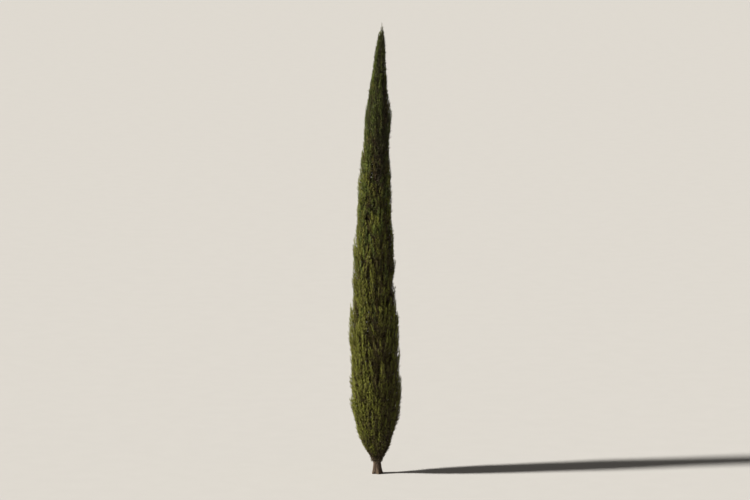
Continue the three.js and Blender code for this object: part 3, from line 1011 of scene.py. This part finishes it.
# In a Mix node of colours, inputs 6 and 7 are the two colours, and output 2 is the mixed one
def barkMaterial():
    material, nodes, surface, place = newMaterial("weathered_cypress_bark", bark["roughness"])
    depth = addNode(nodes, "ShaderNodeAttribute", attribute_name="fissure")
    blotches = addNode(nodes, "ShaderNodeTexNoise", {
        "Vector": place,
        "Scale": bark["blotchesPerMetre"],
        "Detail": bark["blotchDetail"],
    })
    weathered = addNode(nodes, "ShaderNodeMapRange", {
        "Value": blotches.outputs["Fac"],
        "From Min": bark["blotchEdges"][0],
        "From Max": bark["blotchEdges"][1],
    })
    ridge = addNode(nodes, "ShaderNodeMix", {
        "Factor": weathered.outputs["Result"],
        6: linearOf(bark["ridge"]),
        7: linearOf(bark["pale"]),
    }, data_type="RGBA")
    # Painted shade, partly the darker bark inside: the deeper in a fissure, the nearer to its dark colour
    color = addNode(nodes, "ShaderNodeMix", {
        "Factor": depth.outputs["Fac"],
        6: ridge.outputs[2],
        7: linearOf(bark["fissure"]),
    }, data_type="RGBA")
    stretched = addNode(nodes, "ShaderNodeMapping", {"Vector": place, "Scale": (1, 1, bark["fibreStretch"])})
    fibres = addNode(nodes, "ShaderNodeTexNoise", {
        "Vector": stretched.outputs["Vector"],
        "Scale": 1 / bark["fibreWidth"],
        "Detail": bark["fibreDetail"],
    })
    bump = addNode(nodes, "ShaderNodeBump", {
        "Height": fibres.outputs["Fac"],
        "Strength": bark["fibreStrength"],
        "Distance": bark["fibreDepth"],
    })
    nodes.links.new(color.outputs[2], surface.inputs["Base Color"])
    nodes.links.new(bump.outputs["Normal"], surface.inputs["Normal"])
    return material


# Young twigs: smoother and redder than the trunk, with short ring-like marks about 11 mm apart
twigBark = {
    "color": "#45362a",
    "roughness": 0.85,
    "marksPerMetre": 90,
    "markDetail": 3,
    "markStrength": 0.6,
    "markDepth": 0.002,
}


def twigMaterial():
    material, nodes, surface, place = newMaterial("young_twig_bark", twigBark["roughness"])
    marks = addNode(nodes, "ShaderNodeTexNoise", {
        "Vector": place,
        "Scale": twigBark["marksPerMetre"],
        "Detail": twigBark["markDetail"],
    })
    bump = addNode(nodes, "ShaderNodeBump", {
        "Height": marks.outputs["Fac"],
        "Strength": twigBark["markStrength"],
        "Distance": twigBark["markDepth"],
    })
    nodes.links.new(bump.outputs["Normal"], surface.inputs["Normal"])
    surface.inputs["Base Color"].default_value = linearOf(twigBark["color"])
    return material


# A strip pattern on bark: 0 in a fissure and 1 on a ridge, from a place round the limb and one along it
def stripHeight(across, along):
    width = bark["stripWidth"]
    place = Vector((across.x / width, across.y / width, along / bark["stripLength"]))
    wander = noise.noise_vector(place * bark["wanderScale"]) * bark["wander"]
    distances = noise.voronoi(place + wander)[0]
    ridge = smooth(0, bark["ridgeEdge"], distances[1] - distances[0])
    drawnOut = Vector((across.x, across.y, along * width / bark["fibreLength"]))
    fibre = 1 - 2 * abs(noise.noise(drawnOut * (bark["fibresPerStrip"] / width) + wander * 2))
    elsewhere = Vector((7, 3, 1))  # so that the flakes don't follow the strips
    flake = smooth(*bark["flakeEdges"], noise.noise(place * bark["flakeScale"] + elsewhere))
    ridgeShare, fibreShare, flakeShare = bark["shares"]
    return ridgeShare * ridge + fibreShare * fibre + flakeShare * flake


def addObject(name, data):
    added = bpy.data.objects.new(name, data)
    bpy.context.scene.collection.objects.link(added)
    return added


# One piece from closed limbs. A limb is a list of rings, and a ring is a list of points, each with how deep
# in a fissure it is.
def limbPiece(name, limbs, material):
    mesh = bpy.data.meshes.new(name)
    vertices = []
    faces = []
    depths = []
    for limb in limbs:
        sides = len(limb[0])
        start = len(vertices)
        for ring in limb:
            vertices += [point for point, depth in ring]
            depths += [depth for point, depth in ring]
        for row in range(len(limb) - 1):
            low = start + row * sides
            for side in range(sides):
                after = (side + 1) % sides
                faces.append((low + side, low + after, low + sides + after, low + sides + side))
        for row, order in ((0, -1), (len(limb) - 1, 1)):
            vertices.append(sum((point for point, depth in limb[row]), Vector()) / sides)
            depths.append(bark["capDepth"])
            low = start + row * sides
            for side in range(sides):
                edge = (low + side, low + (side + 1) % sides)[::order]
                faces.append((*edge, len(vertices) - 1))
    mesh.from_pydata(vertices, [], faces)
    mesh.attributes.new("fissure", "FLOAT", "POINT").data.foreach_set("value", depths)
    mesh.shade_smooth()
    mesh.materials.append(material)
    return addObject(name, mesh)


def trunkLevels():
    levels = [0.0]
    while levels[-1] < trunk["tipHeight"]:
        above = max(0, levels[-1] - bark["fineHeight"])
        levels.append(levels[-1] + min(bark["rowStep"] + bark["rowGrowth"] * above, bark["longestStep"]))
    return levels[:-1] + [trunk["tipHeight"]]


def trunkRings():
    rings = []
    for z in trunkLevels():
        flare = math.exp(-z / trunk["flareHeight"])
        ring = []
        for column in range(bark["columns"]):
            angle = column * fullTurn / bark["columns"]
            ridge = trunk["flareRidgeShare"] * flare * math.cos(trunk["flareRidges"] * angle)
            radius = trunkRadiusAt(z) * (1 + ridge)
            turned = angle + bark["twist"] * z
            outwards = Vector((math.cos(turned), math.sin(turned), 0))
            height = stripHeight(outwards * trunk["footRadius"] * bark["patternRadius"], z)
            depth = min(bark["stripDepth"], radius * bark["deepest"])
            ring.append((treePoint(radius - depth * (1 - height), angle, z), 1 - height))
        rings.append(ring)
    return rings


def boughRings(bough):
    rings = []
    corners = bough["corners"]
    nearby = 0.01  # share of the bough, to tell which way it heads
    for step in range(boughs["steps"] + 1):
        share = step / boughs["steps"]
        along = bezier(corners, min(1, share + nearby)) - bezier(corners, max(0, share - nearby))
        along.normalize()
        side = along.cross(Vector((0, 0, 1))).normalized()
        up = side.cross(along)
        collar = boughs["collar"] * math.exp(-share / boughs["collarLength"])
        radius = bough["radius"] * mix(1, boughs["taper"], share) * (1 + collar)
        middle = bezier(corners, share)
        ring = []
        for column in range(boughs["sides"]):
            angle = column * fullTurn / boughs["sides"]
            across = side * math.cos(angle) + up * math.sin(angle)
            place = middle * boughs["patternDrift"] + across * radius
            height = stripHeight(place, (middle - corners[0]).length)
            ring.append((middle + across * radius * (1 - boughs["relief"] * (1 - height)), 1 - height))
        rings.append(ring)
    return rings


# Sprigs: short shoots with side shoots all round them. Each shoot is a closed four-faced kite.
sprigs = {
    "variants": 4,
    "seed": 611,
    "sideShoots": 7,
    "innerShoots": 5,
    "innerFatness": 2.1,
    "heel": 0.04,
    "mainTurns": (0, 6),
    "turnSpread": 0.4,
    "sizes": (0.85, 1.15),
    "heights": (0.06, 0.8),     # of the lowest and highest side shoot, as shares of the sprig
    "lengths": (0.49, 0.2),
    "leans": (0.68, 0.4),       # radians off the sprig's own axis
    "mainWidth": 0.105,
    "shootWidths": (1, 0.7),
    "shootWidth": 0.095,
    "thickness": 0.8,           # share of a shoot's width
    "fullest": 0.33,            # share of its length where a shoot is widest
    "sideRise": 0.3,
}


def addShoot(mesh, root, tip, width, turn):
    along = (tip - root).normalized()
    side = along.cross(Vector((math.cos(turn), math.sin(turn), sprigs["sideRise"]))).normalized()
    across = side.cross(along)
    middle = root.lerp(tip, sprigs["fullest"]) + across * width * sprigs["thickness"]
    corners = [root, tip, middle + side * width / 2, middle - side * width / 2]
    points = [mesh.verts.new(corner) for corner in corners]
    for face in ((0, 1, 2), (0, 3, 1), (0, 2, 3), (1, 3, 2)):
        mesh.faces.new([points[corner] for corner in face])


def sprigTemplate(name, variant, count, fatness):
    chance = random.Random(sprigs["seed"] + variant)
    shape = bmesh.new()
    heel = Vector((0, 0, -sprigs["heel"]))
    mainTurn = chance.uniform(*sprigs["mainTurns"])
    addShoot(shape, heel, Vector((0, 0, 1)), sprigs["mainWidth"] * fatness, mainTurn)
    for index in range(count):
        share = index / (count - 1)
        turn = index * fullTurn * goldenShare + chance.uniform(-sprigs["turnSpread"], sprigs["turnSpread"])
        lean = mix(*sprigs["leans"], share) * chance.uniform(*sprigs["sizes"])
        length = mix(*sprigs["lengths"], share) * chance.uniform(*sprigs["sizes"])
        root = Vector((0, 0, mix(*sprigs["heights"], share)))
        heading = Vector((math.sin(lean) * math.cos(turn), math.sin(lean) * math.sin(turn), math.cos(lean)))
        width = sprigs["shootWidth"] * mix(*sprigs["shootWidths"], share) * fatness
        addShoot(shape, root, root + heading * length, width, turn)
    bmesh.ops.recalc_face_normals(shape, faces=shape.faces)
    mesh = bpy.data.meshes.new(f"{name}_{variant}")
    shape.to_mesh(mesh)
    shape.free()
    return bpy.data.objects.new(f"{name}_{variant}", mesh)


def sprigShapes(name, count, fatness):
    shapes = bpy.data.collections.new(name)
    for variant in range(sprigs["variants"]):
        shapes.objects.link(sprigTemplate(name, variant, count, fatness))
    return shapes


def newGeometryTree(name, sizes):
    nodeTree = bpy.data.node_groups.new(name, "GeometryNodeTree")
    nodeTree.interface.new_socket("Geometry", in_out="INPUT", socket_type="NodeSocketGeometry")
    for label, value in sizes.items():
        kind = "NodeSocketInt" if isinstance(value, int) else "NodeSocketFloat"
        nodeTree.interface.new_socket(label, in_out="INPUT", socket_type=kind).default_value = value
    nodeTree.interface.new_socket("Geometry", in_out="OUTPUT", socket_type="NodeSocketGeometry")
    return nodeTree


# Geometry nodes that set sprigs along each line, turned by the golden angle and closing up towards its end
sprigGrowth = {
    "Spacing": 0.038,
    "Sprig length": 0.135,
    "Tip size": 0.62,
    "Size spread": 0.16,
    "Base tilt": 0.62,
    "Tip tilt": 0.16,
    "Tilt spread": 0.14,
    "Shade spread": 0.75,
    "Seed": 5,
}

# The inner sprigs are longer and further apart
insideGrowth = {
    **sprigGrowth,
    "Spacing": 0.095,
    "Sprig length": 0.19,
    "Tip size": 0.72,
    "Base tilt": 0.7,
    "Tip tilt": 0.35,
    "Shade spread": 0.5,
    "Seed": 31,
}
lineValues = ("thickness", "size", "shade", "young")


def sprigTree(shapes, materials):
    nodeTree = newGeometryTree("sprigs_on_lines", sprigGrowth)
    given = addNode(nodeTree, "NodeGroupInput").outputs
    curves = addNode(nodeTree, "GeometryNodeMeshToCurve", {"Mesh": given["Geometry"]})
    marked = addNode(nodeTree, "GeometryNodeStoreNamedAttribute", {
        "Geometry": curves,
        "Name": "share",
        "Value": addNode(nodeTree, "GeometryNodeSplineParameter").outputs["Factor"],
    }, data_type="FLOAT", domain="POINT")
    share, size, shade, young = (
        addNode(nodeTree, "GeometryNodeInputNamedAttribute", {"Name": name}, data_type="FLOAT")
        for name in ("share", "size", "shade", "young")
    )
    spacing = addNode(nodeTree, "ShaderNodeMath", {0: given["Spacing"], 1: size}, operation="MULTIPLY")
    points = addNode(nodeTree, "GeometryNodeCurveToPoints", {
        "Curve": marked,
        "Length": spacing,
    }, mode="LENGTH")

    # Random values about zero, each with a seed of its own. Inputs 2 and 3 are the least and the most.
    drawn = []
    reaches = (0.5, given["Tilt spread"], given["Size spread"], given["Shade spread"])
    for number, reach in enumerate(reaches, 1):
        least = addNode(nodeTree, "ShaderNodeMath", {0: reach, 1: -1.0}, operation="MULTIPLY")
        seed = addNode(nodeTree, "ShaderNodeMath", {0: given["Seed"], 1: float(number)}, operation="ADD")
        limits = {2: least, 3: reach, "Seed": seed}
        drawn.append(addNode(nodeTree, "FunctionNodeRandomValue", limits, data_type="FLOAT").outputs[1])
    rollDrawn, tiltDrawn, sizeDrawn, shadeDrawn = drawn

    # Each sprig rolls on by the golden angle, and tilts less towards the line's end
    turns = addNode(nodeTree, "ShaderNodeMath", {
        0: addNode(nodeTree, "GeometryNodeInputIndex"),
        1: fullTurn * goldenShare,
    }, operation="MULTIPLY")
    roll = addNode(nodeTree, "ShaderNodeMath", {0: turns, 1: rollDrawn}, operation="ADD")
    lean = addNode(nodeTree, "ShaderNodeMapRange", {
        "Value": share,
        "To Min": given["Base tilt"],
        "To Max": given["Tip tilt"],
    })
    tilt = addNode(nodeTree, "ShaderNodeMath", {0: lean, 1: tiltDrawn}, operation="ADD")
    rotation = points.outputs["Rotation"]
    for axis, angle in (((0, 0, 1), roll), ((1, 0, 0), tilt)):
        rotation = addNode(nodeTree, "FunctionNodeRotateRotation", {
            "Rotation": rotation,
            "Rotate By": addNode(nodeTree, "FunctionNodeAxisAngleToRotation", {"Axis": axis, "Angle": angle}),
        }, rotation_space="LOCAL")

    # Its size is the product of the line's, its own and how near the line's end it is
    varied = addNode(nodeTree, "ShaderNodeMath", {0: sizeDrawn, 1: 1.0}, operation="ADD")
    closing = addNode(nodeTree, "ShaderNodeMapRange", {
        "Value": share,
        "To Min": 1.0,
        "To Max": given["Tip size"],
    })
    scale = given["Sprig length"]
    for factor in (size, varied, closing):
        scale = addNode(nodeTree, "ShaderNodeMath", {0: scale, 1: factor}, operation="MULTIPLY")

    shaded = addNode(nodeTree, "GeometryNodeStoreNamedAttribute", {
        "Geometry": points,
        "Name": "shade",
        "Value": addNode(nodeTree, "ShaderNodeMath", {0: shade, 1: shadeDrawn}, operation="ADD"),
    }, data_type="FLOAT", domain="POINT")
    templates = addNode(nodeTree, "GeometryNodeCollectionInfo", {
        "Collection": shapes,
        "Separate Children": True,
        "Reset Children": True,
    })
    variant = {4: 0, 5: sprigs["variants"] - 1, "Seed": 9}  # 4 and 5 are the least and the most
    placed = addNode(nodeTree, "GeometryNodeInstanceOnPoints", {
        "Points": shaded,
        "Instance": templates,
        "Pick Instance": True,
        "Instance Index": addNode(nodeTree, "FunctionNodeRandomValue", variant, data_type="INT").outputs[2],
        "Rotation": rotation,
        "Scale": scale,
    })
    grown = addNode(nodeTree, "GeometryNodeRealizeInstances", {"Geometry": placed})

    # The shade's nearest whole number picks the material, and the young ones come after the old ones
    steps = len(foliage["shadeNames"])
    clamped = addNode(nodeTree, "ShaderNodeClamp", {"Value": shade, "Min": 0.0, "Max": steps - 1.0})
    whole = addNode(nodeTree, "ShaderNodeMath", {0: clamped}, operation="ROUND")
    setOff = addNode(nodeTree, "ShaderNodeMath", {0: young, 1: float(steps)}, operation="MULTIPLY")
    chosen = addNode(nodeTree, "ShaderNodeMath", {0: whole, 1: setOff}, operation="ADD")
    for number, material in enumerate(materials):
        same = {0: chosen, 1: float(number), "Epsilon": 0.4}
        grown = addNode(nodeTree, "GeometryNodeSetMaterial", {
            "Geometry": grown,
            "Selection": addNode(nodeTree, "FunctionNodeCompare", same, data_type="FLOAT", operation="EQUAL"),
            "Material": material,
        })
    addNode(nodeTree, "NodeGroupOutput", {"Geometry": grown})
    return nodeTree


# Geometry nodes that give each line its round wood. Stems and the source's twigs have more sides than finer
# ones.
thickWood = {"Sides": 6}
thinWood = {"Sides": 3}


def woodTree(material):
    nodeTree = newGeometryTree("wood_on_lines", thinWood)
    given = addNode(nodeTree, "NodeGroupInput").outputs
    curves = addNode(nodeTree, "GeometryNodeMeshToCurve", {"Mesh": given["Geometry"]})
    thickness = addNode(nodeTree, "GeometryNodeInputNamedAttribute", {"Name": "thickness"}, data_type="FLOAT")
    section = addNode(nodeTree, "GeometryNodeCurvePrimitiveCircle", {
        "Resolution": given["Sides"],
        "Radius": 1.0,
    })
    tubes = addNode(nodeTree, "GeometryNodeCurveToMesh", {
        "Curve": curves,
        "Profile Curve": section,
        "Scale": thickness,
        "Fill Caps": True,
    })
    real = addNode(nodeTree, "GeometryNodeRealizeInstances", {"Geometry": tubes})
    finished = addNode(nodeTree, "GeometryNodeSetMaterial", {"Geometry": real, "Material": material})
    addNode(nodeTree, "NodeGroupOutput", {"Geometry": finished})
    return nodeTree


def linesObject(lines):
    mesh = bpy.data.meshes.new("lines")
    vertices = []
    edges = []
    values = {name: [] for name in lineValues}
    for line in lines:
        start = len(vertices)
        edges += [(start + step, start + step + 1) for step in range(len(line) - 1)]
        young = youngAt(line[-1][0])
        for point, *numbers in line:
            vertices.append(point)
            for name, number in zip(lineValues, (*numbers, young)):
                values[name].append(number)
    mesh.from_pydata(vertices, edges, [])
    for name, numbers in values.items():
        mesh.attributes.new(name, "FLOAT", "POINT").data.foreach_set("value", numbers)
    return addObject("lines", mesh)


# The plain mesh that a geometry tree makes on some lines
def grownMesh(lines, nodeTree, sizes):
    host = linesObject(lines)
    modifier = host.modifiers.new("growth", "NODES")
    modifier.node_group = nodeTree
    for socket in nodeTree.interface.items_tree:
        if socket.in_out == "INPUT" and socket.name in sizes:
            modifier[socket.identifier] = sizes[socket.name]
    dependencies = bpy.context.evaluated_depsgraph_get()
    mesh = bpy.data.meshes.new_from_object(host.evaluated_get(dependencies))
    lineMesh = host.data
    bpy.data.objects.remove(host)
    bpy.data.meshes.remove(lineMesh)
    for name in (*lineValues, "share"):
        if name in mesh.attributes:
            mesh.attributes.remove(mesh.attributes[name])
    return mesh


def joinedPiece(name, meshes):
    shape = bmesh.new()
    materials = []
    for mesh in meshes:
        materials += [material for material in mesh.materials if material not in materials]
    for mesh in meshes:
        places = [materials.index(material) for material in mesh.materials]
        before = len(shape.faces)
        shape.from_mesh(mesh)
        shape.faces.ensure_lookup_table()
        for number in range(before, len(shape.faces)):
            face = shape.faces[number]
            face.material_index = places[face.material_index]
        bpy.data.meshes.remove(mesh)
    joined = bpy.data.meshes.new(name)
    shape.to_mesh(joined)
    shape.free()
    for material in materials:
        joined.materials.append(material)
    return addObject(name, joined)


def trianglesOf(piece):
    return sum(len(polygon.vertices) - 2 for polygon in piece.data.polygons)


def finishPiece(piece, slot, *nodes):
    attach(piece, "root")
    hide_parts(*nodes)
    return trianglesOf(piece)


# The bark
spaces = crownSpaces()
weatheredBark = barkMaterial()
trunkPiece = limbPiece("trunk_bark", [trunkRings()], weatheredBark)
boughPiece = limbPiece("bough_bark", [boughRings(boughOf(space)) for space in spaces], weatheredBark)
boughNames = [f"bough_{space['name']}" for space in spaces]
barkTriangles = finishPiece(trunkPiece, "bark", "trunk") + finishPiece(boughPiece, "bark", *boughNames)
print("bark:", barkTriangles, "triangles")

# The shapes and materials that the foliage is grown from
outerShapes = sprigShapes("sprig", sprigs["sideShoots"], 1)
innerShapes = sprigShapes("inner_sprig", sprigs["innerShoots"], sprigs["innerFatness"])
shadeMaterials = []
for age in ("old", "young"):
    for name, hexColor in zip(foliage["shadeNames"], foliage[f"{age}Shades"]):
        shadeMaterials.append(scaleLeafMaterial(f"{age}_{name}", hexColor))
growOutside = sprigTree(outerShapes, shadeMaterials)
growInside = sprigTree(innerShapes, shadeMaterials)
growWood = woodTree(twigMaterial())
print("sprigs:", 2 * sprigs["variants"], "shapes in", len(shadeMaterials), "shades")

# The foliage and its twigs, mass by mass
grownMasses = [growMass(space, index) for index, space in enumerate(spaces)]
grownMasses.append(growLeader(len(spaces)))
print("lines:", sum(len(mass["outside"]) for mass in grownMasses), "outside,",
      sum(len(mass["inside"]) for mass in grownMasses), "inside")
triangles = {"sprays": 0, "twigs": 0}
for mass in grownMasses:
    node = f"foliage_{mass['name']}"
    thick = grownMesh(mass["thick"], growWood, thickWood)
    thin = grownMesh(mass["thin"], growWood, thinWood)
    twigPiece = joinedPiece(f"twigs_{mass['name']}", [thick, thin])
    triangles["twigs"] += finishPiece(twigPiece, "bark", node)
    outer = grownMesh(mass["outside"], growOutside, sprigGrowth)
    inside = grownMesh(mass["inside"], growInside, insideGrowth)
    sprayPiece = joinedPiece(f"sprays_{mass['name']}", [outer, inside])
    triangles["sprays"] += finishPiece(sprayPiece, "foliage", node)
print("foliage, in triangles:", triangles)
for shapes in (outerShapes, innerShapes):
    for shape in list(shapes.objects):
        bpy.data.objects.remove(shape)
    bpy.data.collections.remove(shapes)

# The studio: a pale floor, a warm key light from the left, and a far camera that looks slightly down
studio = {
    "pictureWidth": 750,
    "pictureHeight": 500,
    "treeShare": 0.9,       # of the picture's height
    "distance": 103.0,
    "elevation": 8.0,       # degrees
    "sensorWidth": 36,
    "farthest": 2000,
    "floorSize": 900.0,
    "floorColors": ("#c3c8ce", "#c7ccd2"),
    "floorBlotches": 1.5,   # for each metre
    "floorDetail": 3,
    "floorRoughness": 0.95,
    "airColor": "#f0e4d6",
    "airStrength": 0.12,
}

# Degrees round from the camera to the left, and up
suns = {
    "key": {"round": 80.0, "up": 24.0, "strength": 9.3, "softness": 6.0, "color": "#fff3e2"},
    "fill": {"round": -50.0, "up": 20.0, "strength": 0.1, "softness": 60.0, "color": "#ffd4ae"},
}


def towards(degreesRound, degreesUp):
    around = math.radians(degreesRound)
    up = math.radians(degreesUp)
    return Vector((-math.sin(around) * math.cos(up), -math.cos(around) * math.cos(up), math.sin(up)))


def addSun(name, light):
    lamp = bpy.data.lights.new(name, "SUN")
    lamp.energy = light["strength"]
    lamp.angle = math.radians(light["softness"])
    lamp.color = linearOf(light["color"])[:3]
    sun = addObject(name, lamp)
    sun.rotation_euler = towards(light["round"], light["up"]).to_track_quat("Z", "Y").to_euler()


def addFloor():
    half = studio["floorSize"] / 2
    mesh = bpy.data.meshes.new("floor")
    corners = [(-half, -half, 0), (half, -half, 0), (half, half, 0), (-half, half, 0)]
    mesh.from_pydata(corners, [], [(0, 1, 2, 3)])
    material, nodes, surface, place = newMaterial("pale_matt_floor", studio["floorRoughness"])
    grain = addNode(nodes, "ShaderNodeTexNoise", {
        "Vector": place,
        "Scale": studio["floorBlotches"],
        "Detail": studio["floorDetail"],
    })
    tone = addNode(nodes, "ShaderNodeMix", {
        "Factor": grain.outputs["Fac"],
        6: linearOf(studio["floorColors"][0]),
        7: linearOf(studio["floorColors"][1]),
    }, data_type="RGBA")
    nodes.links.new(tone.outputs[2], surface.inputs["Base Color"])
    surface.inputs["Specular IOR Level"].default_value = 0.0
    mesh.materials.append(material)
    addObject("floor", mesh)


def addCamera():
    lens = bpy.data.cameras.new("camera")
    treePixels = studio["pictureHeight"] * studio["treeShare"]
    treeTall = tree["height"] * math.cos(math.radians(studio["elevation"]))
    lens.sensor_width = studio["sensorWidth"]
    lens.lens = studio["sensorWidth"] / studio["pictureWidth"] * treePixels * studio["distance"] / treeTall
    lens.clip_end = studio["farthest"]
    camera = addObject("camera", lens)
    back = towards(0, studio["elevation"])
    middle = Vector((sum(corner[0] for corner in cadBox) / 2, 0, tree["height"] / 2))
    camera.location = middle + back * studio["distance"]
    camera.rotation_euler = back.to_track_quat("Z", "Y").to_euler()
    bpy.context.scene.camera = camera


addFloor()
addCamera()
for name, light in suns.items():
    addSun(name, light)
world = bpy.data.worlds.new("studio_air")
world.use_nodes = True
world.node_tree.nodes["Background"].inputs["Color"].default_value = linearOf(studio["airColor"])
world.node_tree.nodes["Background"].inputs["Strength"].default_value = studio["airStrength"]
bpy.context.scene.world = world
bpy.context.scene.view_settings.view_transform = "Standard"
print("studio: camera and lights are in place")
